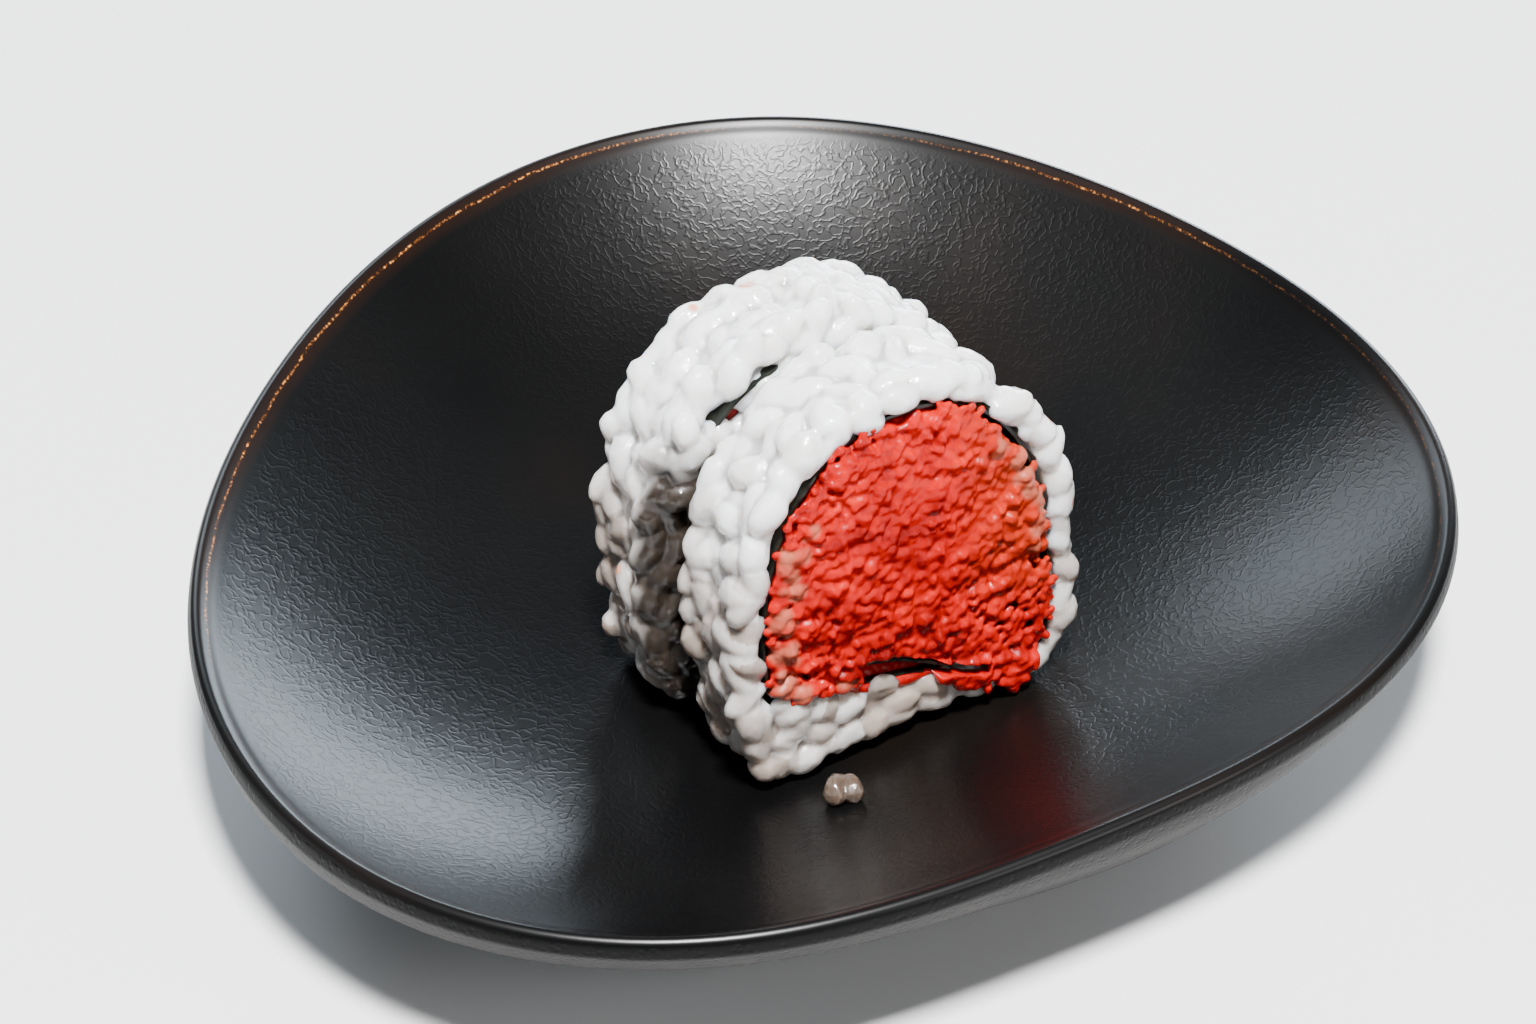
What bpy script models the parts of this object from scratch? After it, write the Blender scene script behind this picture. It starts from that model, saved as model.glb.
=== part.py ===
"""Two slices of rice-coated sushi roll on a small egg-shaped stoneware dish.

Metres, +Z up. The origin is the middle of the dish's outline, on the surface that it stands on.
-Y is the side that the cut face with the red filling looks towards.
"""

import math

import bmesh
import bpy
import numpy as np
from mathutils import Matrix, Vector, noise

MM = 0.001

# Dish: an egg seen from above, as a mean radius with an oval, an egg-shaped and a slight square term
DISH_RADIUS = 68.6 * MM
DISH_OVAL = 3.0 * MM
DISH_OVAL_TURN = math.radians(39.0)
DISH_EGG = 3.76 * MM
DISH_EGG_TURN = math.radians(-7.6)
DISH_SQUARE = 0.5 * MM
DISH_SQUARE_TURN = math.radians(-6.3)
RIM_HEIGHT = 23.5 * MM
LIP_THICKNESS = 4.0 * MM
# The lip: offset from the outermost line, and height
LIP = (
    (-2.9 * MM, 22.3 * MM),
    (-2.0 * MM, 23.1 * MM),
    (-1.2 * MM, RIM_HEIGHT),
    (-0.35 * MM, 23.0 * MM),
    (0.0, 21.6 * MM),
)
WELL_HEIGHT = 5.6 * MM
WELL_POWER = 3.0
# The outer wall: share of the radius, how much more it is where the wall bulges, and height
UNDERSIDE = (
    (0.97, 0.02, 18.0 * MM),
    (0.92, 0.045, 14.6 * MM),
    (0.85, 0.07, 11.0 * MM),
    (0.76, 0.07, 7.6 * MM),
    (0.66, 0.04, 4.2 * MM),
)
# Direction, spread and amount of each bulge
BULGES = ((math.radians(-52.0), math.radians(28.0), 1.0), (math.radians(-142.0), math.radians(25.0), 0.8))
FOOT_OUTER = 0.58
FOOT_INNER = 0.50
FOOT_RECESS = 1.1 * MM
DISH_SIDES = 44
DISH_STEPS = 8

# Slices: a tall dome with a square foot, leaning backwards
SLICE_WIDTH = 43.6 * MM
SLICE_HEIGHT = 45.5 * MM
SHOULDER_HEIGHT = 17.0 * MM
DOME_POWER = 2.2
FOOT_POWER = 5.0
FOOT_ARCH = 1.6 * MM
DOME_LEAN = 0.5 * MM
FRONT_DEPTH = 12.2 * MM
REAR_DEPTH = 12.6 * MM
SLICE_YAW = math.radians(31.0)
REAR_TURN = math.radians(-4.5)
SLICE_TILT = math.radians(9.0)
FRONT_FOOT = Vector((9.6 * MM, -24.2 * MM, 7.0 * MM))
REAR_SHIFT = -2.5 * MM
SLICE_GAP = 0.5 * MM

# Rice coat: its thickness over the sheet of nori, and how far the grains stand out of it
COAT_SIDE = 3.3 * MM
COAT_TOP = 3.5 * MM
COAT_FOOT = 6.2 * MM
COAT_FOOT_SLOPE = 4.2 * MM
THICK_FOOT = (8.0 * MM, 9.0 * MM)
CORE_INSET = 1.3 * MM
GRAIN_LENGTH = 5.6 * MM
GRAIN_WIDTH = 3.3 * MM
GRAIN_PITCH = 5.9 * MM
GRAIN_ROWS = 3
FACE_GRAIN_PITCH = 7.4 * MM
GRAIN_SIDES = 5
GRAIN_RINGS = 4

NORI = 0.6 * MM
TAIL_RISE = 3.2 * MM
TAIL_LENGTH = 15.0 * MM
TAIL_START = 9.0 * MM
SHEET_END = 1.6 * MM
CLEAR = 0.3 * MM
FILLING_RELIEF = 0.9 * MM
FILLING_LUMP = 2.6 * MM
FILLING_CROWN = 1.2 * MM
FACE_INSET = {True: 0.6 * MM, False: 1.0 * MM}
OUTLINE_SIDES = 44
BAND_SIDES = 44

LOOSE_GRAIN_PLACE = (1.05 * MM, -35.2 * MM)


def clear_scene():
    for item in list(bpy.data.objects):
        bpy.data.objects.remove(item)


def material(name, colour, roughness):
    made = bpy.data.materials.new(name)
    made.use_nodes = True
    shader = made.node_tree.nodes["Principled BSDF"]
    shader.inputs["Base Color"].default_value = (*colour, 1.0)
    shader.inputs["Roughness"].default_value = roughness
    shader.inputs["Metallic"].default_value = 0.0
    return made


def object_of(name, mesh, finish=None):
    made = bpy.data.objects.new(name, mesh)
    bpy.context.scene.collection.objects.link(made)
    if finish:
        mesh.materials.clear()
        mesh.materials.append(finish)
    return made


def mesh_of(name, shape):
    """The bmesh as a mesh with its faces pointing out."""
    bmesh.ops.recalc_face_normals(shape, faces=shape.faces)
    mesh = bpy.data.meshes.new(name)
    shape.to_mesh(mesh)
    shape.free()
    return mesh


def bridged(shape, rings):
    """Joins rings of vertices, each to the next, with quads."""
    for ring, following in zip(rings, rings[1:]):
        for i in range(len(ring)):
            j = (i + 1) % len(ring)
            shape.faces.new((ring[i], ring[j], following[j], following[i]))


def fan(shape, ring, middle):
    """Closes a ring of vertices with triangles round a middle point."""
    for i in range(len(ring)):
        shape.faces.new((ring[i], ring[(i + 1) % len(ring)], middle))


# Dish


def dish_radius(angle):
    """Distance from the origin to the outermost line of the lip, in that direction."""
    return (
        DISH_RADIUS
        + DISH_OVAL * math.cos(2 * (angle - DISH_OVAL_TURN))
        + DISH_EGG * math.cos(3 * (angle - DISH_EGG_TURN))
        + DISH_SQUARE * math.cos(4 * (angle - DISH_SQUARE_TURN))
    )


def dish_middle():
    """Middle of the outline's box, which is moved to the origin."""
    angles = np.linspace(0, 2 * math.pi, DISH_SIDES, endpoint=False)
    x = [dish_radius(a) * math.cos(a) for a in angles]
    y = [dish_radius(a) * math.sin(a) for a in angles]
    return (max(x) + min(x)) / 2, (max(y) + min(y)) / 2


DISH_MIDDLE = dish_middle()


def well_height(share):
    """Height of the dish's inner surface at that share of the way from its middle to its inner edge."""
    return WELL_HEIGHT + (RIM_HEIGHT - LIP_THICKNESS / 2 - WELL_HEIGHT) * share**WELL_POWER


def dish_profile():
    """(share of the radius, offset, height, bulge) from the middle of the well to the underside."""
    shares = [k / DISH_STEPS for k in range(1, DISH_STEPS + 1)]
    top = [(share, -LIP_THICKNESS * share, well_height(share)) for share in shares]
    lip = [(1.0, across, height) for across, height in LIP]
    below = [(share, 0.0, height, bulge) for share, bulge, height in UNDERSIDE]
    foot = [(FOOT_OUTER, 0.0, 0.0), (FOOT_INNER, 0.0, 0.0), (FOOT_INNER - 0.02, 0.0, FOOT_RECESS)]
    return top + lip + below + foot


def fullness(angle):
    """How much of its bulge the outer wall has in that direction."""
    total = 0.0
    for direction, spread, amount in BULGES:
        away = (angle - direction + math.pi) % (2 * math.pi) - math.pi
        total += amount * math.exp(-((away / spread) ** 2))
    return total


def dish_point(angle, share, offset, height, bulge=0.0):
    radius = dish_radius(angle) * (share + bulge * fullness(angle)) + offset
    return Vector((
        radius * math.cos(angle) - DISH_MIDDLE[0],
        radius * math.sin(angle) - DISH_MIDDLE[1],
        height,
    ))


def dish_ring(shape, share, offset, height, bulge=0.0):
    angles = np.linspace(0, 2 * math.pi, DISH_SIDES, endpoint=False)
    return [shape.verts.new(dish_point(a, share, offset, height, bulge)) for a in angles]


def dish(finish):
    shape = bmesh.new()
    rings = [dish_ring(shape, *step) for step in dish_profile()]
    bridged(shape, rings)
    fan(shape, rings[0], shape.verts.new(dish_point(0, 0, 0, WELL_HEIGHT)))
    fan(shape, rings[-1], shape.verts.new(dish_point(0, 0, 0, FOOT_RECESS)))
    made = object_of("dish", mesh_of("dish", shape), finish)
    made.data.shade_smooth()
    made.data.set_sharp_from_angle(angle=math.radians(40))
    return made


def well_cutter():
    """What lies below the dish's inner surface, raised by the clearance that the food keeps to it."""
    shape = bmesh.new()
    rings = []
    for k in range(1, DISH_STEPS + 1):
        share = k / DISH_STEPS
        rings.append(dish_ring(shape, share, -LIP_THICKNESS * share, well_height(share) + CLEAR))
    rings.append(dish_ring(shape, 1.0, -LIP_THICKNESS, -RIM_HEIGHT))
    bridged(shape, rings)
    fan(shape, rings[0], shape.verts.new(dish_point(0, 0, 0, WELL_HEIGHT + CLEAR)))
    fan(shape, rings[-1], shape.verts.new(dish_point(0, 0, 0, -RIM_HEIGHT)))
    return helper("well_cutter", mesh_of("well_cutter", shape))


def helper(name, mesh):
    made = object_of(name, mesh)
    made.hide_render = True
    made.display_type = "WIRE"
    return made


# Outlines of a slice, in its own plane: u to the right and v up from the middle of its foot


def even(points, count):
    """The closed outline through the points, with its corners kept apart by equal steps."""
    loop = np.vstack([points, points[:1]])
    way = np.concatenate([[0], np.cumsum(np.linalg.norm(np.diff(loop, axis=0), axis=1))])
    steps = np.linspace(0, way[-1], count, endpoint=False)
    return np.stack([np.interp(steps, way, loop[:, k]) for k in range(2)], axis=1)


def outline(side, top, foot, slope, count):
    """The dome inset by these amounts. It runs anticlockwise from its right side."""
    points = []
    for turn in np.linspace(0, 2 * math.pi, 720, endpoint=False):
        c, s = math.cos(turn), math.sin(turn)
        power = 2 / (DOME_POWER if s > 0 else FOOT_POWER)
        across = math.copysign(abs(c) ** power, c)
        if s > 0:
            v = SHOULDER_HEIGHT + (SLICE_HEIGHT - top - SHOULDER_HEIGHT) * s**power
        else:
            low = foot - slope * across + FOOT_ARCH * (1 - across**2)
            v = SHOULDER_HEIGHT - (SHOULDER_HEIGHT - low) * abs(s) ** power
        u = (SLICE_WIDTH / 2 - side) * across + DOME_LEAN * v / SLICE_HEIGHT
        points.append((u, v))
    return even(np.array(points), count)


def coat_inset(extra=0.0):
    """Insets of the line where the rice meets the nori, moved inwards by extra."""
    return COAT_SIDE + extra, COAT_TOP + extra, COAT_FOOT + extra, COAT_FOOT_SLOPE


def prism(name, points, near, far):
    """A solid of that outline between two depths."""
    shape = bmesh.new()
    rings = [[shape.verts.new((u, depth, v)) for u, v in points] for depth in (near, far)]
    bridged(shape, rings)
    for ring in rings:
        shape.faces.new(ring)
    shape.normal_update()
    bmesh.ops.triangulate(shape, faces=[f for f in shape.faces if len(f.verts) > 4])
    return mesh_of(name, shape)


def ring_prism(name, outer, inner, depth):
    """A tube between two outlines that have as many points as each other."""
    shape = bmesh.new()
    corners = ((outer, 0.0), (outer, depth), (inner, depth), (inner, 0.0), (outer, 0.0))
    rings = [[shape.verts.new((u, y, v)) for u, v in points] for points, y in corners[:4]]
    bridged(shape, [*rings, rings[0]])
    return mesh_of(name, shape)


def strip_prism(name, path, thickness, near, far):
    """A strip of even thickness that follows an open path."""
    along = np.gradient(path, axis=0)
    along /= np.linalg.norm(along, axis=1)[:, None]
    across = np.stack([-along[:, 1], along[:, 0]], axis=1) * thickness / 2
    return prism(name, np.vstack([path + across, (path - across)[::-1]]), near, far)


# Pieces of a slice


def sheet_foot(u):
    """Height of the nori's middle line where it runs over the foot of rice."""
    across = u / (SLICE_WIDTH / 2 - COAT_SIDE)
    return COAT_FOOT + NORI / 2 - COAT_FOOT_SLOPE * across + FOOT_ARCH * (1 - across**2)


def tail_path(extra=0.0):
    """The end of the nori that is tucked into the filling, from its free end down to the sheet."""
    share = np.linspace(0, 1, 9)[:, None]
    u = TAIL_START - (TAIL_LENGTH + extra) * (1 - share)
    rise = TAIL_RISE * (0.5 + 0.5 * np.cos(math.pi * share))
    return np.hstack([u, sheet_foot(u) + rise])


def sheet_path():
    """The nori's middle line: its tucked end, then round the filling to just under that end."""
    middle = outline(*coat_inset(NORI / 2), BAND_SIDES)
    turns = np.array([math.atan2(v - SHOULDER_HEIGHT, u) % (2 * math.pi) for u, v in middle])
    order = np.argsort(turns)
    loop, turns = middle[order], turns[order]
    start = math.atan2(sheet_foot(TAIL_START) - SHOULDER_HEIGHT, TAIL_START) % (2 * math.pi)
    end = math.atan2(sheet_foot(SHEET_END) - SHOULDER_HEIGHT, SHEET_END) % (2 * math.pi)
    return np.vstack([tail_path(), loop[turns > start + math.pi / BAND_SIDES], loop[turns < end]])


def grain_mesh(shape, place, direction, outwards, length, width, bend):
    """Adds one grain of rice: an egg-shaped body of a few rings, a little bent."""
    side = direction.cross(outwards).normalized()
    rise = side.cross(direction).normalized()
    rings = []
    for k in range(1, GRAIN_RINGS):
        turn = math.pi * k / GRAIN_RINGS
        middle = place - direction * (length / 2 * math.cos(turn)) + rise * (bend * math.sin(turn))
        radius = width / 2 * math.sin(turn) ** 0.8
        ring = []
        for j in range(GRAIN_SIDES):
            spin = 2 * math.pi * j / GRAIN_SIDES
            spoke = side * math.cos(spin) + rise * math.sin(spin)
            ring.append(shape.verts.new(middle + spoke * radius))
        rings.append(ring)
    bridged(shape, rings)
    fan(shape, rings[0], shape.verts.new(place - direction * length / 2))
    fan(shape, rings[-1], shape.verts.new(place + direction * length / 2))


def grain_object(name, group, *facts):
    shape = bmesh.new()
    grain_mesh(shape, *facts)
    made = bpy.data.objects.new(name, mesh_of(name, shape))
    group.objects.link(made)


def coat_grains(group, depth, face_depth, draw):
    """Grains over the coat's outside, and round the cut face at face_depth."""
    edge = outline(CORE_INSET, CORE_INSET, CORE_INSET, 0.0, 400)
    way = np.concatenate([[0], np.cumsum(np.linalg.norm(np.diff(edge, axis=0), axis=1))])
    columns = int(way[-1] / GRAIN_PITCH)
    for row in range(GRAIN_ROWS):
        for column in range(columns):
            along = way[-1] * (column + 0.5 * (row % 2) + draw.uniform(-0.25, 0.25)) / columns
            i = int(np.searchsorted(way, along % way[-1])) % len(edge)
            u, v = edge[i]
            if v < 3.0 * MM:
                continue
            du, dv = edge[(i + 1) % len(edge)] - edge[i - 1]
            tangent = Vector((du, 0, dv)).normalized()
            outwards = Vector((dv, 0, -du)).normalized()
            length = GRAIN_LENGTH * draw.uniform(0.8, 1.08)
            lie = draw.uniform(-1.2, 1.2)
            direction = (tangent * math.cos(lie) + Vector((0, 1, 0)) * math.sin(lie)).normalized()
            reach = length / 2 * abs(direction.y) + GRAIN_WIDTH / 2 * math.sqrt(1 - direction.y**2)
            y = (row + 0.5 + draw.uniform(-0.3, 0.3)) * depth / GRAIN_ROWS
            y = min(max(y, reach - 0.2 * MM), depth - reach + 0.2 * MM)
            sink = draw.uniform(0.35, 0.8) * MM
            place = Vector((u, y, v)) - outwards * sink
            width = GRAIN_WIDTH * draw.uniform(0.88, 1.08)
            grain_object("grain", group, place, direction, outwards, length, width, 0.3 * MM)
    look = Vector((0, -1 if face_depth == 0.0 else 1, 0))
    count = int(way[-1] / FACE_GRAIN_PITCH)
    for share in (0.5, 0.24, 0.74):
        middle = outline(*[share * x for x in coat_inset(-0.6 * MM)], len(edge))
        for k in range(count):
            i = int(len(edge) * (k + draw.uniform(-0.2, 0.2)) / count) % len(edge)
            u, v = middle[i]
            thick = u < THICK_FOOT[0] and v < THICK_FOOT[1]
            if thick == (share == 0.5):
                continue
            du, dv = middle[(i + 1) % len(edge)] - middle[i - 1]
            tangent = Vector((du, 0, dv)).normalized()
            across = Vector((dv, 0, -du)).normalized()
            lie = draw.uniform(-0.5, 0.5)
            direction = (tangent * math.cos(lie) + across * math.sin(lie)).normalized()
            place = Vector((u, face_depth, v)) - look * draw.uniform(0.3, 0.9) * MM
            length = GRAIN_LENGTH * draw.uniform(0.75, 1.0)
            grain_object("grain", group, place, direction, look, length, GRAIN_WIDTH, 0.3 * MM)


def baked(thing):
    """Puts the object's modifiers into its mesh."""
    bpy.context.view_layer.update()
    graph = bpy.context.evaluated_depsgraph_get()
    finish = list(thing.data.materials)
    mesh = bpy.data.meshes.new_from_object(thing.evaluated_get(graph))
    thing.modifiers.clear()
    thing.data = mesh
    mesh.materials.clear()
    for each in finish:
        mesh.materials.append(each)


def largest_shell(thing):
    """Drops loose scraps and the skins of sealed hollows, and welds what nearly meets."""
    shape = bmesh.new()
    shape.from_mesh(thing.data)
    bmesh.ops.remove_doubles(shape, verts=shape.verts, dist=0.002 * MM)
    left = set(shape.verts)
    shells = []
    while left:
        reached = {left.pop()}
        found = set(reached)
        while reached:
            reached = {e.other_vert(v) for v in reached for e in v.link_edges} - found
            found |= reached
        left -= found
        shells.append(found)
    shells.sort(key=len)
    bmesh.ops.delete(shape, geom=[v for shell in shells[:-1] for v in shell], context="VERTS")
    shape.to_mesh(thing.data)
    shape.free()


def cut(thing, cutter, solver="EXACT"):
    step = thing.modifiers.new("cut", "BOOLEAN")
    step.operation = "DIFFERENCE"
    step.solver = solver
    step.object = cutter
    return step


def rice_coat(name, depth, face_depth, draw, finish):
    """The ring of rice: a core with the grains that show fused on, and a clean bore for the nori."""
    outer = outline(CORE_INSET, CORE_INSET, CORE_INSET, 0.0, OUTLINE_SIDES)
    inner = outline(*coat_inset(-2 * CLEAR), OUTLINE_SIDES)
    coat = object_of(name, ring_prism(name, outer, inner, depth), finish)
    group = bpy.data.collections.new("grains")
    coat_grains(group, depth, face_depth, draw)
    step = coat.modifiers.new("grains", "BOOLEAN")
    step.operation = "UNION"
    step.solver = "MANIFOLD"
    step.operand_type = "COLLECTION"
    step.collection = group
    baked(coat)
    for each in list(group.objects):
        bpy.data.objects.remove(each)
    bpy.data.collections.remove(group)
    hole = outline(*coat_inset(-CLEAR), OUTLINE_SIDES)
    bore = helper(name + "_bore", prism("bore", hole, -GRAIN_LENGTH, depth + GRAIN_LENGTH))
    cut(coat, bore, "MANIFOLD")
    baked(coat)
    bpy.data.objects.remove(bore)
    largest_shell(coat)
    return coat


def relief(u, v, seed):
    """Height of the chopped filling at a point of its cut face, in lumps of the real size."""
    near = noise.voronoi(Vector((u / FILLING_LUMP, v / FILLING_LUMP, seed)))[0][0]
    slow = noise.noise(Vector((u / (4 * FILLING_LUMP), v / (4 * FILLING_LUMP), seed + 5)))
    return FILLING_RELIEF * (0.9 - near + 0.5 * slow)


def filling_body(name, depth, near_rings, far_rings, sides, seed, finish):
    """The filling, with a lumpy face at each end. The one with fewer rings meets the other slice."""
    edge = outline(*coat_inset(NORI + 2 * CLEAR), sides)
    middle = edge.mean(axis=0)
    shape = bmesh.new()

    def lift_of(point, share, shown):
        crown = FILLING_CROWN * (1 - share**2) if shown else 0.0
        return (relief(*point, seed) * (1.0 if shown else 0.4) + crown) * (1 - share**6)

    def face_rings(count, base, way, shown):
        rings = []
        for k in range(1, count + 1):
            share = k / count
            ring = []
            for u, v in middle + (edge - middle) * share:
                ring.append(shape.verts.new((u, base + way * lift_of((u, v), share, shown), v)))
            rings.append(ring)
        top = base + way * lift_of(middle, 0.0, shown)
        fan(shape, rings[0], shape.verts.new((middle[0], top, middle[1])))
        return rings

    near_shown = near_rings > far_rings
    near = face_rings(near_rings, FACE_INSET[near_shown], -1, near_shown)
    far = face_rings(far_rings, depth - FACE_INSET[not near_shown], 1, not near_shown)
    bridged(shape, near)
    bridged(shape, far)
    bridged(shape, [near[-1], far[-1]])
    return object_of(name, mesh_of(name, shape), finish)


def slice_of(prefix, depth, face_depth, place, turn, rings, seed, finishes, well):
    """One slice: rice coat, nori and filling, set down in the dish."""
    draw = np.random.default_rng(seed)
    coat = rice_coat(prefix + "_rice", depth, face_depth, draw, finishes["rice"])
    sheet = strip_prism(prefix + "_nori", sheet_path(), NORI, 0.2 * MM, depth - 0.2 * MM)
    nori = object_of(prefix + "_nori", sheet, finishes["nori"])
    filling = filling_body(prefix + "_filling", depth, *rings, seed, finishes["filling"])
    reach = 2 * GRAIN_LENGTH
    slot = strip_prism("tail_slot", tail_path(2 * CLEAR), NORI + 2 * CLEAR, -reach, depth + reach)
    slot = helper("tail_slot", slot)
    cut(filling, slot)
    baked(filling)
    bpy.data.objects.remove(slot)
    largest_shell(filling)
    pose = Matrix.Translation(place) @ Matrix.Rotation(turn, 4, "Z") @ Matrix.Rotation(-SLICE_TILT, 4, "X")
    for piece in (coat, nori, filling):
        piece.matrix_world = pose
        cut(piece, well)
        baked(piece)
        largest_shell(piece)
        piece.data.shade_smooth()
        piece.data.set_sharp_from_angle(angle=math.radians(50))
    return coat, nori, filling


def loose_grain(finish, well):
    """A clump of two cooked grains that lies in the dish in front of the slices."""
    group = bpy.data.collections.new("clump")
    x, y = LOOSE_GRAIN_PLACE
    up = Vector((0, 0, 1))
    across = (x + DISH_MIDDLE[0], y + DISH_MIDDLE[1])
    low = well_height(math.hypot(*across) / (dish_radius(math.atan2(across[1], across[0])) - LIP_THICKNESS))
    body = bmesh.new()
    first = Vector((x - 0.8 * MM, y, low + 1.4 * MM))
    lie = Vector((0.25, 1, 0.05)).normalized()
    grain_mesh(body, first, lie, up, 4.4 * MM, 2.9 * MM, 0.2 * MM)
    made = object_of("loose_grain", mesh_of("loose_grain", body), finish)
    second = Vector((x + 0.9 * MM, y + 0.2 * MM, low + 1.3 * MM))
    lie = Vector((-0.3, 1, 0)).normalized()
    grain_object("lobe", group, second, lie, up, 4.0 * MM, 2.7 * MM, 0.2 * MM)
    step = made.modifiers.new("lobes", "BOOLEAN")
    step.operation = "UNION"
    step.solver = "EXACT"
    step.operand_type = "COLLECTION"
    step.collection = group
    baked(made)
    for each in list(group.objects):
        bpy.data.objects.remove(each)
    bpy.data.collections.remove(group)
    cut(made, well)
    baked(made)
    largest_shell(made)
    return made


def main():
    clear_scene()
    finishes = {
        "dish": material("black_glaze", (0.012, 0.012, 0.013), 0.38),
        "rice": material("cooked_rice", (0.80, 0.79, 0.76), 0.35),
        "nori": material("roasted_nori", (0.010, 0.014, 0.010), 0.45),
        "filling": material("red_filling", (0.78, 0.045, 0.02), 0.30),
    }
    dish(finishes["dish"])
    well = well_cutter()
    front_rings = (9, 3, 40)
    slice_of("front", FRONT_DEPTH, 0.0, FRONT_FOOT, SLICE_YAW, front_rings, 3, finishes, well)
    along = Vector((math.cos(SLICE_YAW), math.sin(SLICE_YAW), 0))
    away = Vector((-math.sin(SLICE_YAW), math.cos(SLICE_YAW), 0))
    opening = SLICE_WIDTH / 2 * abs(math.sin(REAR_TURN))
    rear_place = FRONT_FOOT + away * (FRONT_DEPTH + SLICE_GAP + opening) + along * REAR_SHIFT
    rear_turn = SLICE_YAW + REAR_TURN
    rear_rings = (2, 6, 32)
    slice_of("rear", REAR_DEPTH, REAR_DEPTH, rear_place, rear_turn, rear_rings, 11, finishes, well)
    loose_grain(finishes["rice"], well)
    bpy.data.objects.remove(well)


main()
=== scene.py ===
"""Two slices of rice-coated sushi roll on a small black stoneware dish.

Metres, +Z up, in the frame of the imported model: the origin is the middle of the dish's outline on the table,
and -Y is the side that the cut face with the red filling looks to.
"""

import math

import bmesh
import bpy
import numpy as np
from mathutils import Matrix, Vector, noise
from mathutils.kdtree import KDTree


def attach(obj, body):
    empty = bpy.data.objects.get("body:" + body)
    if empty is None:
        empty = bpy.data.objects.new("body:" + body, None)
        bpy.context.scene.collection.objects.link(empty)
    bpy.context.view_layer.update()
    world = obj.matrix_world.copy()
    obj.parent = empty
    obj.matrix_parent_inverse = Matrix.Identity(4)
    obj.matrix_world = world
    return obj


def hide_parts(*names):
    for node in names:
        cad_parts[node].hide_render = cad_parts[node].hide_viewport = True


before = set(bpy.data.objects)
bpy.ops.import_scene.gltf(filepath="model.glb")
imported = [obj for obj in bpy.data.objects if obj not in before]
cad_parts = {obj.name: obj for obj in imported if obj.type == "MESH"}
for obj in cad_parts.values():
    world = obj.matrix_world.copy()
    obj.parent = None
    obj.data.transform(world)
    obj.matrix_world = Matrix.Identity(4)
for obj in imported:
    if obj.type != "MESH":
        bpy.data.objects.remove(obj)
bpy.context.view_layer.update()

MM = 0.001

# Camera: the photograph's angle, from in front and above
CAMERA_AIM = Vector((-7.0, 10.1, 9.0)) * MM
CAMERA_DISTANCE = 423 * MM
CAMERA_ELEVATION = math.radians(42)
CAMERA_LENS = 85

# Dish, as in the part's source
DISH_RADIUS = 68.6 * MM
# The outline's swellings: how many in a turn, their size and their direction
DISH_WAVES = (
    (2, 3.0 * MM, math.radians(39.0)),
    (3, 3.76 * MM, math.radians(-7.6)),
    (4, 0.5 * MM, math.radians(-6.3)),
)
DISH_MIDDLE = (3.044 * MM, 0.541 * MM)
RIM_HEIGHT = 23.5 * MM
LIP = 4.0 * MM
WELL_HEIGHT = 5.6 * MM
WELL_POWER = 3.0
# The lip as (offset from the outermost line, height) and the underside as (share of the radius, bulge, height)
LIP_LINE = ((-4.0, 21.5), (-2.9, 22.3), (-2.0, 23.1), (-1.2, 23.5), (-0.35, 23.0), (0.0, 21.6))
UNDERSIDE = (
    (1.0, 0.0, 21.6), (0.97, 0.02, 18.0), (0.92, 0.045, 14.6), (0.85, 0.07, 11.0), (0.76, 0.07, 7.6),
    (0.66, 0.04, 4.2), (0.597, 0.006, 0.9), (0.58, 0.0, 0.0),
)
FOOT = ((0.50, 0.0), (0.49, 0.5), (0.48, 1.1), (0.0, 1.1))
# Direction, spread and amount of each place where the outer wall is fuller
BULGES = ((math.radians(-52), math.radians(28), 1.0), (math.radians(-142), math.radians(25), 0.8))
DISH_TURNS = 200
CUTTER_TURNS = 160
# Where the glaze stops, in millimetres along the dish's skin outwards from its crest
GLAZE_EDGE = 0.9

# Slices, as in the part's source
SLICE_WIDTH = 43.6 * MM
SLICE_HEIGHT = 45.5 * MM
SHOULDER_HEIGHT = 17.0 * MM
DOME_POWER = 2.2
FOOT_POWER = 5.0
FOOT_ARCH = 1.6 * MM
DOME_LEAN = 0.5 * MM
FRONT_DEPTH = 12.2 * MM
REAR_DEPTH = 12.6 * MM
SLICE_YAW = math.radians(31.0)
REAR_TURN = math.radians(-4.5)
SLICE_TILT = math.radians(9.0)
FRONT_FOOT = Vector((9.6, -24.2, 7.0)) * MM
REAR_SHIFT = -2.5 * MM
SLICE_GAP = 0.5 * MM
COAT_SIDE = 3.3 * MM
COAT_TOP = 3.5 * MM
COAT_FOOT = 6.2 * MM
COAT_FOOT_SLOPE = 4.2 * MM
NORI = 0.6 * MM
CLEAR = 0.3 * MM
# The nori's end that is tucked into the filling
TAIL_RISE = 3.2 * MM
TAIL_LENGTH = 15.0 * MM
TAIL_START = 9.0 * MM
SHEET_END = 1.6 * MM
# How far the nori's cut edges stand back from the slice's faces, and how thick the sheet is drawn
NORI_BACK = 0.35 * MM
NORI_SHEET = 0.35 * MM

# The noise vectors start from the clock unless they are seeded
NOISE_SEED = 7

# Cooked short grain rice, before it is softened
GRAIN_LENGTH = 6.2 * MM
GRAIN_WIDTH = 3.7 * MM
GRAIN_BEND = 0.35 * MM
GRAIN_UNEVEN = 0.32 * MM
# The coat's layers of grains: the gap between them, and the least and most that they lie under the outline
COAT_LAYERS = ((4.3 * MM, 1.3 * MM, 2.1 * MM), (3.4 * MM, 2.0 * MM, 2.9 * MM))

# Detail of the closed skins
RICE_VOXEL = 0.27 * MM
FILLING_VOXEL = 0.23 * MM
CLUMP_VOXEL = 0.16 * MM

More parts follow.
